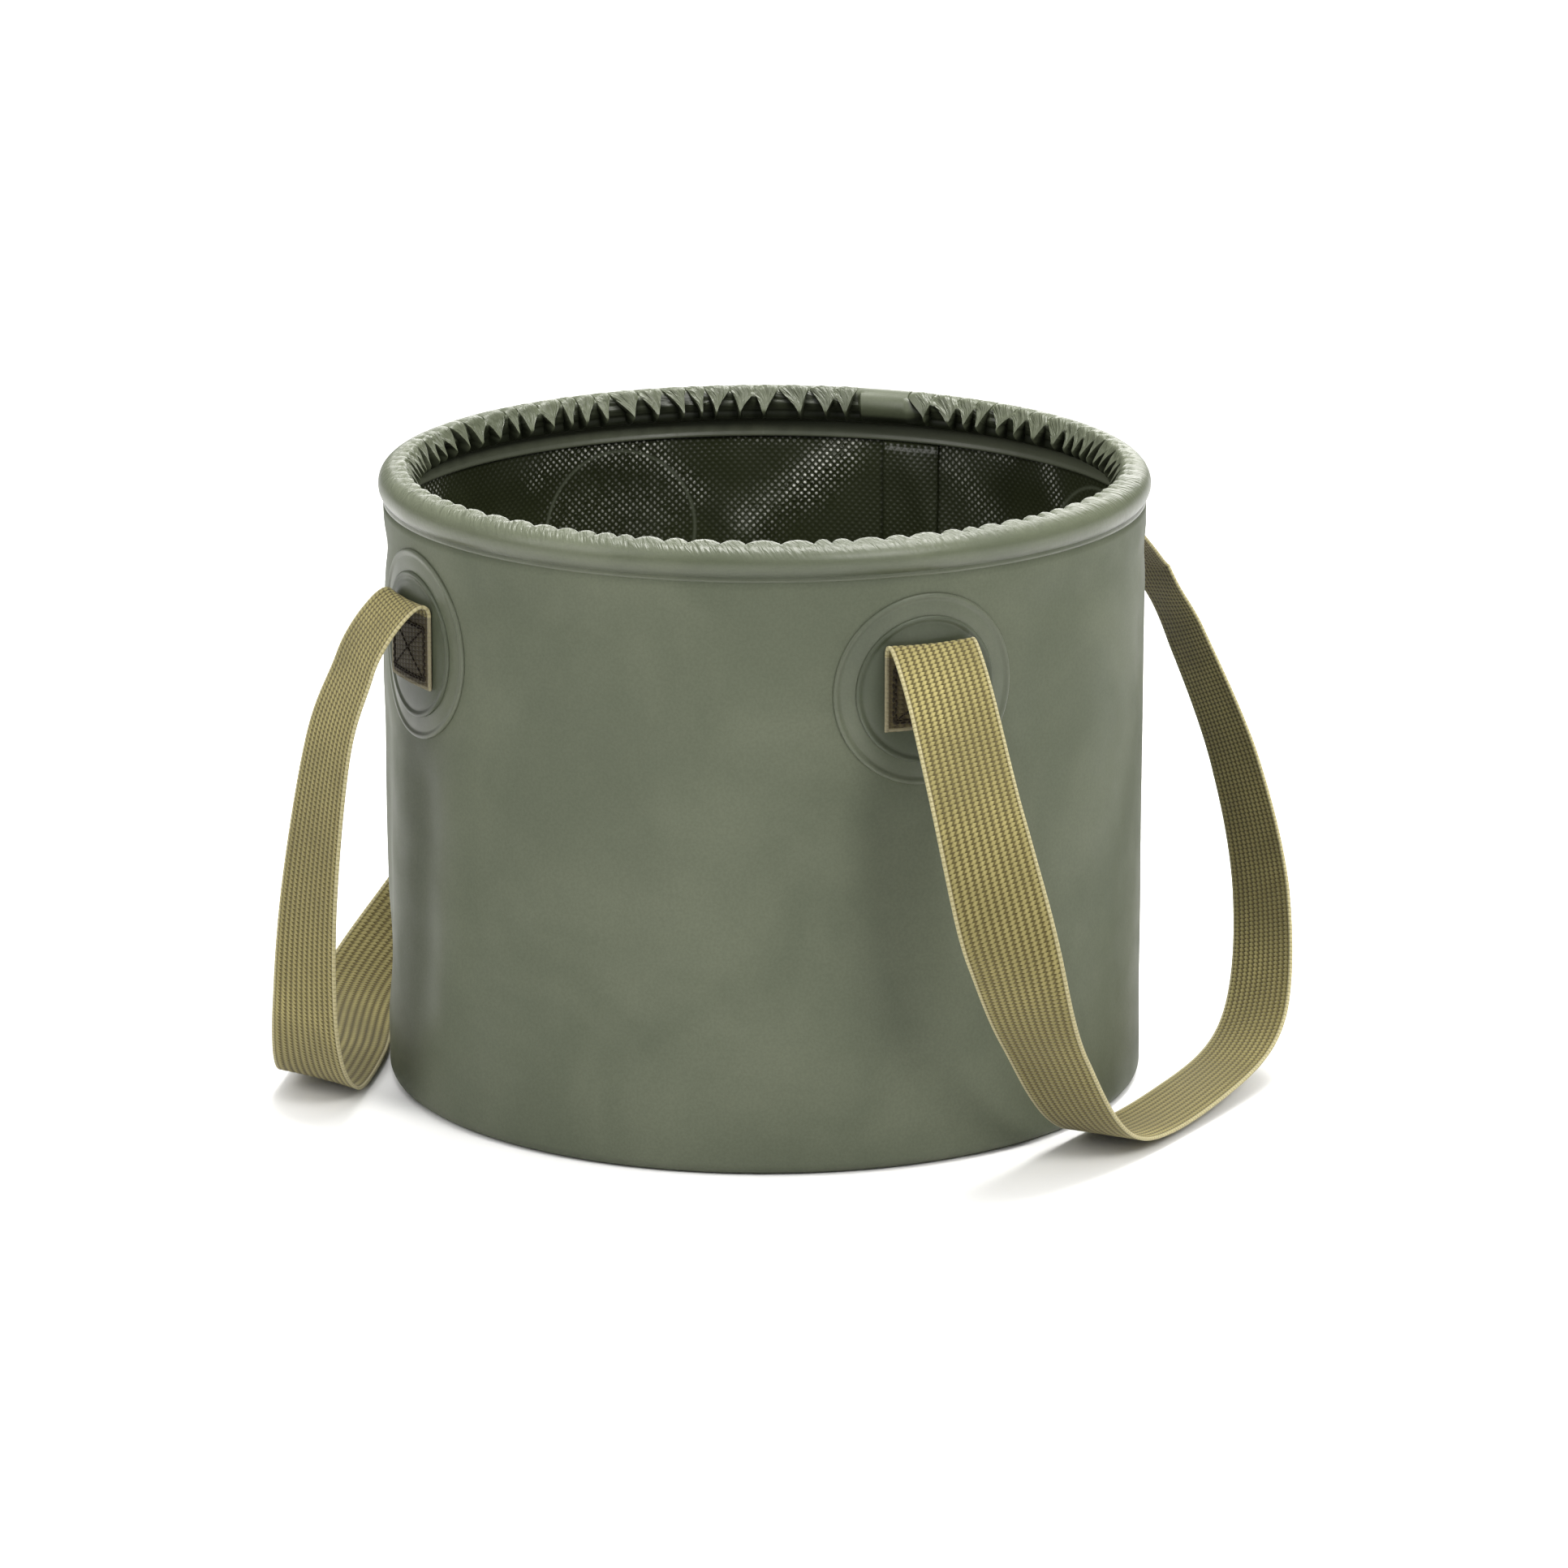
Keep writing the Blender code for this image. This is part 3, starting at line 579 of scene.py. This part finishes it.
def rim_skin(outside, inside):
    """The sleeve over the hoop: smooth outside, gathered inside, with a flat hem below."""
    hem_radius = WALL_RADIUS - 2 * SHEET - 3 * GAP
    hem_top, hem_bottom = WALL_TOP - 0.0012, WALL_TOP - 0.0080
    smooth_side = [-45 + 135 * row / 14 for row in range(15)]
    gathered_side = [94 + 4 * row for row in range(40)]
    turns = smooth_side + gathered_side
    columns = []
    shades = []

    def add_column(place_at, reach_at, shade_at):
        column = []
        length = 0.0
        last = None
        middle = place_at(90)
        drift = noise.noise(Vector((math.cos(middle) * 5, math.sin(middle) * 5, 3.0)))

        def add(r, z, angle, shade):
            nonlocal length, last
            if last is not None:
                length += math.hypot(r - last[0], z - last[1])
            last = (r, z)
            place = (r * math.cos(angle), r * math.sin(angle), z)
            column.append((place, middle * WALL_RADIUS, length))
            shades.append(shade)

        # The two rows next to the wall get painted shade
        add(WALL_RADIUS, WALL_TOP + GAP, middle, FOOT_PAINTED_SHADES[0])
        add(WALL_RADIUS - 0.0001, WALL_TOP + 0.0012, middle, FOOT_PAINTED_SHADES[1])
        for degrees in turns:
            turn = math.radians(degrees)
            reach = reach_at(degrees) + 0.00018 * drift * (1 - ease(degrees, 60, 100))
            add(RIM_RADIUS + reach * math.cos(turn), RIM_HEIGHT + reach * math.sin(turn),
                place_at(degrees), shade_at(degrees))
        foot = last
        final = place_at(turns[-1])
        shade = shade_at(turns[-1])
        # The hem below fades to its paler painted reflection
        for step in range(1, 4):
            share = step / 3
            add(foot[0] + (hem_radius - foot[0]) * share, foot[1] + (hem_top - foot[1]) * share,
                final, shade + (HEM_PAINTED_REFLECTION - shade) * share)
        for step in range(1, 9):
            share = step / 8
            lip = 0.0006 * ease(share, 0.70, 0.90)
            add(hem_radius + 0.0002 * drift - lip, hem_top + (hem_bottom - hem_top) * share, final,
                HEM_PAINTED_REFLECTION)
        columns.append(column)

    def sheared(angle, degrees):
        sway = noise.noise(Vector((math.cos(angle) * 3.1, math.sin(angle) * 3.1, 8.0)))
        lean = sway * 0.055 + 0.010 * math.sin(angle - math.radians(110))
        return angle + lean * ease(degrees, 96, 200)

    # Painted shade under the teeth's tips and in the crease where the tube meets the wall
    def under(degrees):
        return ease(degrees, 196, 214) + UNDER_PAINTED_SHADE * (1 - ease(degrees, -45, 0))

    for first, second, head_first, head_second, tip, lean, fullness in pleats():
        half = (second - first) / 2
        middle = first + half

        def ridge_at(degrees):
            return middle + lean * half * ease(degrees, 100, 196)

        def add_spot(kind, head, valley):
            def place_at(degrees):
                edge = tooth_edge(degrees, head, tip)
                share = {"pit": 1.0, "foot": edge + 0.1575 * (1 - edge) ** 1.6 + 0.03,
                         "edge": edge, "face": edge * 0.55}[kind]
                ridge_angle = ridge_at(degrees)
                return sheared(ridge_angle + (valley - ridge_angle) * min(share, 1.0), degrees)

            def reach_at(degrees):
                if kind in ("pit", "foot"):
                    return pit_reach(degrees, head, 1.0 if kind == "pit" else 0.0)
                return tooth_reach(degrees, fullness, 0.9 if kind == "edge" else 0.5)

            # Painted shade in each pit, from its head downwards
            def shade_at(degrees):
                full = {"pit": PIT_PAINTED_SHADE, "foot": 1.0}.get(kind, 0.0)
                return max(full * ease(degrees, head, head + 14), under(degrees))

            add_column(place_at, reach_at, shade_at)

        for kind in ("pit", "foot", "edge", "face"):
            add_spot(kind, head_first, first)
        add_column(lambda degrees: sheared(ridge_at(degrees), degrees),
                   lambda degrees: tooth_reach(degrees, fullness, 0.0), under)
        for kind in ("face", "edge", "foot"):
            add_spot(kind, head_second, second)
    steps = 12
    for step in range(steps):
        angle = PLAIN_EDGE + PLAIN_ARC * step / steps
        add_column(lambda degrees: sheared(angle, degrees), lambda degrees: SLEEVE_RADIUS, under)
    mesh = grid_mesh("rim_skin", columns, True)
    # Painted shade and a painted reflection, kept with each point for the hem's material
    layer = mesh.attributes.new("rim_painted_light_and_shade", "FLOAT", "POINT")
    for point, shade in zip(layer.data, shades):
        point.value = shade
    piece = add_object("rim_skin", mesh, (outside, inside))
    mesh.set_sharp_from_angle(angle=math.radians(38))
    thicken(piece, SHEET * 0.8, inside=1)
    return piece


def flat_uv(mesh, columns):
    """Gives each corner its column's own place, where a closed grid would wrap round."""
    height = len(columns[0])
    for corner, loop in zip(mesh.uv_layers["UVMap"].data, mesh.loops):
        column, row = divmod(loop.vertex_index, height)
        corner.uv = columns[column][row][1:]


def base_skin(outside, inside):
    """The round bottom, slightly uneven, dark above and green below."""
    columns = []
    count = 144
    rings = 24
    thickness = 0.0011
    bottom = SHEET + GAP
    for index in range(count):
        phi = 2 * math.pi * index / count
        column = []
        for ring in range(rings + 1):
            r = max(BASE_RADIUS * ring / rings, 0.0004)
            place = Vector((r * math.cos(phi) * 14, r * math.sin(phi) * 14, 1.0))
            lift = 0.0006 * (noise.noise(place) + 0.6) * (1 - ease(r, 0.118, 0.131))
            column.append(((r * math.cos(phi), r * math.sin(phi), bottom + thickness + lift),
                           r * math.cos(phi), r * math.sin(phi)))
        columns.append(column)
    mesh = grid_mesh("base_skin", columns, True)
    flat_uv(mesh, columns)
    piece = add_object("base_skin", mesh, (inside, outside))
    if mesh.polygons[len(mesh.polygons) // 2].normal.z < 0:
        mesh.flip_normals()
    thicken(piece, thickness, inside=1)
    return piece


# Rings as (share of the radius, height). The outer patch has a raised weld edge and a shallow
# field, and the inner disc a raised weld bead, a pressed line inside it and a soft field
PATCH_RINGS = (
    (1.0, -0.0002), (1.0, 0.0004), (0.988, 0.0008), (0.970, 0.0009), (0.952, 0.0007),
    (0.935, 0.0003), (0.915, 0.0003), (0.88, 0.0005), (0.82, 0.0006), (0.78, 0.0006),
    (0.6, 0.0006), (0.3, 0.0006), (0.0, 0.0006),
)
DISC_RINGS = (
    (1.0, -0.0003), (1.0, 0.0003), (0.990, 0.00068), (0.968, 0.00080), (0.948, 0.00068),
    (0.925, 0.0002), (0.905, 0.0001), (0.88, 0.0003), (0.84, 0.00045), (0.78, 0.0006),
    (0.65, 0.0006), (0.4, 0.0006), (0.2, 0.0006), (0.0, 0.0006),
)


def wrap(point, angle, height, radius):
    """A flat place (across, up, out) bent round the wall."""
    turn = angle + point[0] / WALL_RADIUS
    reach = radius + point[2]
    return (reach * math.cos(turn), reach * math.sin(turn), height + point[1])


def seam_skin(inside):
    """The lap of the wall's weld inside the tub, with its pressed edges."""
    columns = []
    bottom, top = CORNER_RADIUS + SHEET, WALL_TOP - 0.0085
    face = WALL_RADIUS - SHEET - 2 * GAP
    for step in range(15):
        across = SEAM_WIDTH * (step / 14 - 0.5)
        press = 0.00018 * math.exp(-((abs(across) - SEAM_WIDTH / 2 + 0.002) / 0.0008) ** 2)
        column = []
        for row in range(49):
            z = bottom + (top - bottom) * row / 48
            phi = SEAM_MIDDLE + across / WALL_RADIUS
            r = face + wall_sag(phi, z) - 0.0001 + press
            column.append(((r * math.cos(phi), r * math.sin(phi), z), phi * WALL_RADIUS, z))
        columns.append(column)
    mesh = grid_mesh("seam_skin", columns, False)
    piece = add_object("seam_skin", mesh, (inside,))
    thicken(piece, 0.0005)
    return piece


def disc_skin(name, outer, angle, face, finish, rings):
    """A round welded patch or disc, from its rings, wrapped on the wall."""
    count = 96
    columns = []
    for index in range(count):
        turn = 2 * math.pi * index / count
        column = []
        for share, lift in rings:
            r = max(outer * share, 0.0002)
            flat = (r * math.cos(turn), r * math.sin(turn), lift)
            column.append((wrap(flat, angle, PATCH_HEIGHT, face), flat[0], flat[1]))
        columns.append(column)
    mesh = grid_mesh(name, columns, True)
    flat_uv(mesh, columns)
    return add_object(name, mesh, (finish,))


def webbing_section():
    """The outline of ribbed webbing across: (across, out) points, once round."""
    half = WEBBING_WIDTH / 2
    groove, crown = WEBBING_THICKNESS * 0.34, WEBBING_THICKNESS * 0.5
    top = [(-half, 0.0), (-half + 0.00022, crown * 0.75), (-half + 0.0006, crown * 0.98),
           (-half + 0.0011, crown * 0.9)]
    for rib in range(RIBS):
        left = -half + SELVEDGE + rib * RIB_PITCH
        for step in range(RIB_POINTS):
            share = step / RIB_POINTS
            arch = math.sin(math.pi * share) ** 0.6
            top.append((left + RIB_PITCH * share, groove + (crown - groove) * arch))
    top.append((half - SELVEDGE, groove))
    top += [(-x, y) for x, y in reversed(top[:4])]
    bottom = [(x, -y) for x, y in reversed(top[1:-1])]
    return top + bottom


def webbing_mesh(name, path, begin=0.0, way=1, capped=False):
    """Ribbed webbing along (middle, across, out, curve) stations. Curve is 1 / radius across it,
    and the weave's own length starts at begin and runs the given way."""
    section = webbing_section()
    count = len(section)
    points, uvs = [], []
    length = begin
    for index, (middle, across, out, curve) in enumerate(path):
        if index:
            length += way * (middle - path[index - 1][0]).length
        for x, y in section:
            points.append(middle + across * x + out * (y - curve * x * x / 2))
            uvs.append((length, x))
    faces, corners = [], []
    for ring in range(len(path) - 1):
        for step in range(count):
            after = (step + 1) % count
            quad = (ring * count + step, ring * count + after,
                    (ring + 1) * count + after, (ring + 1) * count + step)
            faces.append(quad)
            corners += [uvs[corner] for corner in quad]
    if capped:
        cap = list(range(len(points), len(points) + count))
        points += points[:count]
        faces.append(cap[::-1])
        corners += [uvs[corner - cap[0]] for corner in cap[::-1]]
    mesh = bpy.data.meshes.new(name)
    mesh.from_pydata(points, [], faces)
    layer = mesh.uv_layers.new(name="UVMap")
    for loop, corner in zip(layer.data, corners):
        loop.uv = corner
    half_way = len(path) // 2
    face = mesh.polygons[half_way * count + 2 * RIB_POINTS]
    if face.normal.dot(path[half_way][2]) < 0:
        mesh.flip_normals()
    return mesh


def run_length(path):
    return sum((second[0] - first[0]).length for first, second in zip(path, path[1:]))


def tab_frame(end):
    outward = Vector((math.cos(TAB_ANGLE), end * math.sin(TAB_ANGLE), 0.0))
    sideways = Vector((math.sin(TAB_ANGLE), -end * math.cos(TAB_ANGLE), 0.0))
    return outward, sideways


def catmull_rom(before, start, end, after, share):
    return 0.5 * (
        2 * start + (end - before) * share
        + (2 * before - 5 * start + 4 * end - after) * share ** 2
        + (3 * start - before - 3 * end + after) * share ** 3)


def squared(path):
    """The path with each across direction made square to the run there."""
    square = []
    for index, (middle, across) in enumerate(path):
        run = path[min(index + 1, len(path) - 1)][0] - path[max(index - 1, 0)][0]
        run.normalize()
        square.append((middle, (across - across.dot(run) * run).normalized()))
    return square


def loop_path(hang, steps=26):
    """The hanging loop as a smooth curve through its stations, as in the CAD source."""
    front, front_across = tab_frame(-1)
    back, back_across = tab_frame(1)
    hinge = Vector((0, 0, HINGE_HEIGHT))
    stations = [(front * HINGE_RADIUS + hinge, front_across)]
    for reach, along, height, turn, tilt in hang:
        middle = Vector((front.x * HINGE_RADIUS + reach * HANG_REACH,
                         along * back.y * HINGE_RADIUS, height * HINGE_HEIGHT))
        turn, tilt = math.radians(turn), math.radians(tilt)
        flat = Vector((math.cos(turn), math.sin(turn), 0.0)) * math.cos(tilt)
        stations.append((middle, flat + Vector((0, 0, math.sin(tilt)))))
    stations.append((back * HINGE_RADIUS + hinge, back_across))
    lead = tuple(2 * end - inner for end, inner in zip(stations[0], stations[1]))
    tail = tuple(2 * end - inner for end, inner in zip(stations[-1], stations[-2]))
    ring = [lead, *stations, tail]
    path = []
    for index in range(len(ring) - 3):
        for step in range(steps):
            share = step / steps
            path.append(tuple(
                catmull_rom(*(station[part] for station in ring[index:index + 4]), share)
                for part in (0, 1)))
    return squared([*path, stations[-1]])


def fold_path(end, hinge, across, run, steps=36):
    """The webbing over the top of a tab and out into the loop."""
    outward, sideways = tab_frame(end)
    start = outward * WEBBING_RADIUS + Vector((0, 0, TAB_TOP))
    points = interpolate_bezier(
        start, start + Vector((0, 0, FOLD_RISE)), hinge - run * FOLD_RUN, hinge, steps + 1)
    middle = squared([(point, sideways) for point in points])[1:-1]
    return [(start, sideways), *middle, (hinge, across)]


def mirrored(vector, side):
    return Vector((side * vector.x, vector.y, vector.z))


def with_normals(path, side, out_first, curves):
    """Adds the out direction to (middle, across) stations, and mirrors them for the left side."""
    stations = []
    for index, (middle, across) in enumerate(path):
        run = path[min(index + 1, len(path) - 1)][0] - path[max(index - 1, 0)][0]
        out = across.cross(run).normalized()
        if index == 0:
            flip = -1 if out.dot(out_first) < 0 else 1
        out *= flip
        stations.append((mirrored(middle, side), mirrored(across, side), mirrored(out, side),
                         curves(index / (len(path) - 1))))
    return stations


def stitch_mesh(name, angle, radius):
    """The sewn box and cross as single stitches of thread, wrapped on the wall."""
    chance = random.Random(5)
    across = WEBBING_WIDTH / 2 - 0.0036
    up = TAB_HEIGHT / 2 - 0.0048
    corners = [(-across, -up), (across, -up), (across, up), (-across, up)]
    lines = list(zip(corners, corners[1:] + corners[:1]))
    inner = [(x * 0.93, y * 0.91) for x, y in corners]
    lines += list(zip(inner, inner[1:] + inner[:1]))
    lines += [(corners[0], corners[2]), (corners[1], corners[3])]
    rings, spokes = 5, 6
    points, faces = [], []
    for (x0, y0), (x1, y1) in lines:
        length = math.hypot(x1 - x0, y1 - y0)
        count = max(int(length / STITCH_LENGTH), 1)
        for stitch in range(count):
            begin = (stitch + 0.06) / count
            finish = (stitch + 0.94) / count
            wobble = chance.uniform(-0.00012, 0.00012)
            side = (-(y1 - y0) / length, (x1 - x0) / length)
            base = len(points)
            for ring in range(rings):
                share = begin + (finish - begin) * ring / (rings - 1)
                arch = math.sin(math.pi * ring / (rings - 1))
                girth = THREAD_RADIUS * (0.55 + 0.45 * arch)
                for spoke in range(spokes):
                    spin = math.pi * 2 * spoke / spokes
                    x = x0 + (x1 - x0) * share + side[0] * (math.cos(spin) * girth + wobble)
                    y = y0 + (y1 - y0) * share + side[1] * (math.cos(spin) * girth + wobble)
                    z = math.sin(spin) * girth * 0.8 - 0.0003 + 0.00035 * arch
                    points.append(wrap((x, y, z), angle, TAB_MIDDLE, radius))
            for ring in range(rings - 1):
                low = base + ring * spokes
                for spoke in range(spokes):
                    after = (spoke + 1) % spokes
                    faces.append((low + spoke, low + after,
                                  low + spokes + after, low + spokes + spoke))
            faces.append([base + spoke for spoke in range(spokes)][::-1])
            faces.append([low + spokes + spoke for spoke in range(spokes)])
    mesh = bpy.data.meshes.new(name)
    mesh.from_pydata(points, [], faces)
    bm = bmesh.new()
    bm.from_mesh(mesh)
    bmesh.ops.recalc_face_normals(bm, faces=bm.faces)
    bm.to_mesh(mesh)
    bm.free()
    return mesh


def stand_for(piece, node, body):
    """Puts a piece in the place of a CAD node and on its body."""
    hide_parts(node)
    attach(piece, body)


def fold_down(piece):
    """Gives the piece a mesh of its own."""
    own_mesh(piece)


def handle(side_name, side, hang, finishes):
    """One carrying loop with its two patches, discs, sewn tabs, folds and stitches."""
    patch_finish, disc_finish, webbing, sewn_webbing, thread = finishes
    loop = loop_path(hang)
    stations = with_normals(loop, side, tab_frame(-1)[0], lambda share: 0.0)
    hanging = add_object(f"{side_name}_loop_webbing",
                         webbing_mesh(f"{side_name}_loop_webbing", stations), (webbing,))
    stand_for(hanging, f"{side_name}_loop", f"{side_name}_handle")
    for end_name, end, (hinge, across), inner, joint in (
            ("front", -1, loop[0], loop[1], 0.0),
            ("back", 1, loop[-1], loop[-2], run_length(loop))):
        name = f"{side_name}_{end_name}"
        angle = end * TAB_ANGLE if side > 0 else math.pi - end * TAB_ANGLE
        outward, sideways = tab_frame(end)

        for kind, radius, face, finish, rings in (
                ("patch", PATCH_RADIUS, PATCH_FACE, patch_finish, PATCH_RINGS),
                ("disc", DISC_RADIUS, DISC_FACE, disc_finish, DISC_RINGS)):
            skin = disc_skin(f"{name}_{kind}_skin", radius, angle, face, finish, rings)
            stand_for(skin, f"{name}_{kind}", "shell")
            fold_down(skin)

        path = fold_path(end, hinge, across, (inner[0] - hinge).normalized())
        sewn_top = joint + end * run_length(path)
        steps = 16
        tab = []
        for step in range(steps + 1):
            z = TAB_FOOT + (TAB_TOP - TAB_FOOT) * step / steps
            middle = outward * WEBBING_RADIUS + Vector((0, 0, z))
            tab.append((mirrored(middle, side), mirrored(sideways, side), mirrored(outward, side),
                        1 / WEBBING_RADIUS))
        sewn = add_object(
            f"{name}_tab_webbing",
            webbing_mesh(f"{name}_tab_webbing", tab, sewn_top + end * (TAB_TOP - TAB_FOOT),
                         -end, True),
            (sewn_webbing,))
        stand_for(sewn, f"{name}_tab", f"{side_name}_tabs")

        stations = with_normals(path, side, outward,
                                lambda share: (1 - ease(share, 0.0, 0.6)) / WEBBING_RADIUS)
        fold = add_object(
            f"{name}_fold_webbing",
            webbing_mesh(f"{name}_fold_webbing", stations, sewn_top, -end), (webbing,))
        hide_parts(f"{name}_fold")
        # A point just inside the hinge line, 0.21 m up; nothing uses it
        level = Vector((0, 0, 0.21))
        finish = mirrored(outward * (HINGE_RADIUS - 0.0032) + level, side)
        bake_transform(fold)

        stitches = add_object(
            f"{name}_stitches",
            stitch_mesh(f"{name}_stitches", angle, WEBBING_RADIUS + WEBBING_THICKNESS / 2 + 0.0001),
            (thread,))
        stand_for(stitches, f"{name}_stitching", f"{side_name}_tabs")


def studio():
    """The pale floor, white surroundings that are brighter above, and four soft lamps."""
    floor = bpy.data.objects.new("floor", bpy.data.meshes.new("floor"))
    size = 14.0
    floor.data.from_pydata([(-size, -size, 0), (size, -size, 0), (size, size, 0), (-size, size, 0)],
                           [], [(0, 1, 2, 3)])
    floor.data.materials.append(floor_material())
    floor.location.z = -0.0002
    bpy.context.scene.collection.objects.link(floor)

    world = bpy.data.worlds.new("studio")
    bpy.context.scene.world = world
    world.use_nodes = True
    tree = world.node_tree
    background = tree.nodes["Background"]
    direction = tree.nodes.new("ShaderNodeTexCoord")
    parts = tree.nodes.new("ShaderNodeSeparateXYZ")
    tree.links.new(direction.outputs["Generated"], parts.inputs[0])
    rise = tree.nodes.new("ShaderNodeMapRange")
    rise.interpolation_type = "SMOOTHSTEP"
    for socket, value in zip(list(rise.inputs)[1:5], (0.0, 0.9, 0.16, 1.2)):
        socket.default_value = value
    tree.links.new(parts.outputs[2], rise.inputs[0])
    tree.links.new(rise.outputs[0], background.inputs["Strength"])
    background.inputs["Color"].default_value = (1.0, 1.0, 1.0, 1.0)

    for name, place, target, size, power in (
            ("top_light", (0.2, 0.3, 2.0), (0.0, 0.0, 0.1), (1.2, 1.2), 66.0),
            ("back_panel", (-1.30, 5.4, 1.80), (0.0, 0.0, 0.2), (3.6, 2.3), 124.0),
            ("side_light", (1.95, -1.3, 1.8), (0.0, 0.0, 0.12), (0.8, 0.8), 40.0),
            ("fill_light", (-1.6, -1.8, 1.5), (0.0, 0.0, 0.12), (1.5, 1.5), 28.0)):
        lamp = bpy.data.lights.new(name, "AREA")
        lamp.shape = "RECTANGLE"
        lamp.size, lamp.size_y = size
        lamp.energy = power
        lamp.color = (1.0, 0.99, 0.965)
        lamp_object = bpy.data.objects.new(name, lamp)
        lamp_object.location = place
        lamp_object.rotation_euler = (Vector(target) - Vector(place)).to_track_quat(
            "-Z", "Y").to_euler()
        bpy.context.scene.collection.objects.link(lamp_object)


def photo_camera():
    """The photograph's view: from 20 degrees right of the front and 14.8 degrees up."""
    azimuth, elevation, distance = math.radians(20), math.radians(14.8), 3.125
    target = Vector((0, 0, 0.125))
    away = Vector((math.sin(azimuth) * math.cos(elevation),
                   -math.cos(azimuth) * math.cos(elevation), math.sin(elevation)))
    lens = bpy.data.cameras.new("camera")
    lens.sensor_width = 36.0
    lens.lens = 171.4
    lens.shift_x = 0.0124
    lens.shift_y = -0.0052
    lens.clip_end = 50.0
    camera = bpy.data.objects.new("camera", lens)
    camera.location = target + away * distance
    camera.rotation_euler = (-away).to_track_quat("-Z", "Y").to_euler()
    bpy.context.scene.collection.objects.link(camera)
    bpy.context.scene.camera = camera


def main():
    outside = tarpaulin_outside("tarpaulin_satin", (0.077, 0.087, 0.059), (0.097, 0.107, 0.074))
    inside = tarpaulin_inside("tarpaulin_embossed")
    inside_plain = tarpaulin_inside("base_embossed", rings=False)
    # The hem is the wall's fabric in a darker copy: painted shade for the tube's lower part, with
    # glossier highlights
    hem = tarpaulin_outside("tarpaulin_hem", (0.063, 0.073, 0.043), (0.085, 0.096, 0.058),
                            gloss=0.44, gathered=True)
    finishes = (
        # The patch and, more so, the disc are darker than the wall: painted shade from the strap
        # over them
        tarpaulin_outside("tarpaulin_patch", (0.060, 0.069, 0.045), (0.082, 0.092, 0.060), 0.34),
        tarpaulin_outside("tarpaulin_disc", (0.036, 0.044, 0.026), (0.058, 0.067, 0.042), 0.32),
        webbing_material("webbing_weave"),
        # The sewn tabs get painted shade from the folds above them
        webbing_material("webbing_sewn", tab_painted_shade=0.88),
        thread_material(),
    )

    plastic = plastic_material()
    for node in ("rim_hoop", "hoop_joiner"):
        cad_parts[node].data.materials.clear()
        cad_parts[node].data.materials.append(plastic)

    wall = wall_skin(outside, inside)
    stand_for(wall, "side_wall", "shell")
    fold_down(wall)
    seam = seam_skin(inside)
    stand_for(seam, "seam_tape", "shell")
    fold_down(seam)
    stand_for(rim_skin(hem, inside), "rim_sleeve", "shell")
    stand_for(base_skin(outside, inside_plain), "base_panel", "base")
    handle("right", 1, RIGHT_HANG, finishes)
    handle("left", -1, LEFT_HANG, finishes)
    studio()
    photo_camera()
    bpy.context.scene.view_settings.view_transform = "Standard"


main()
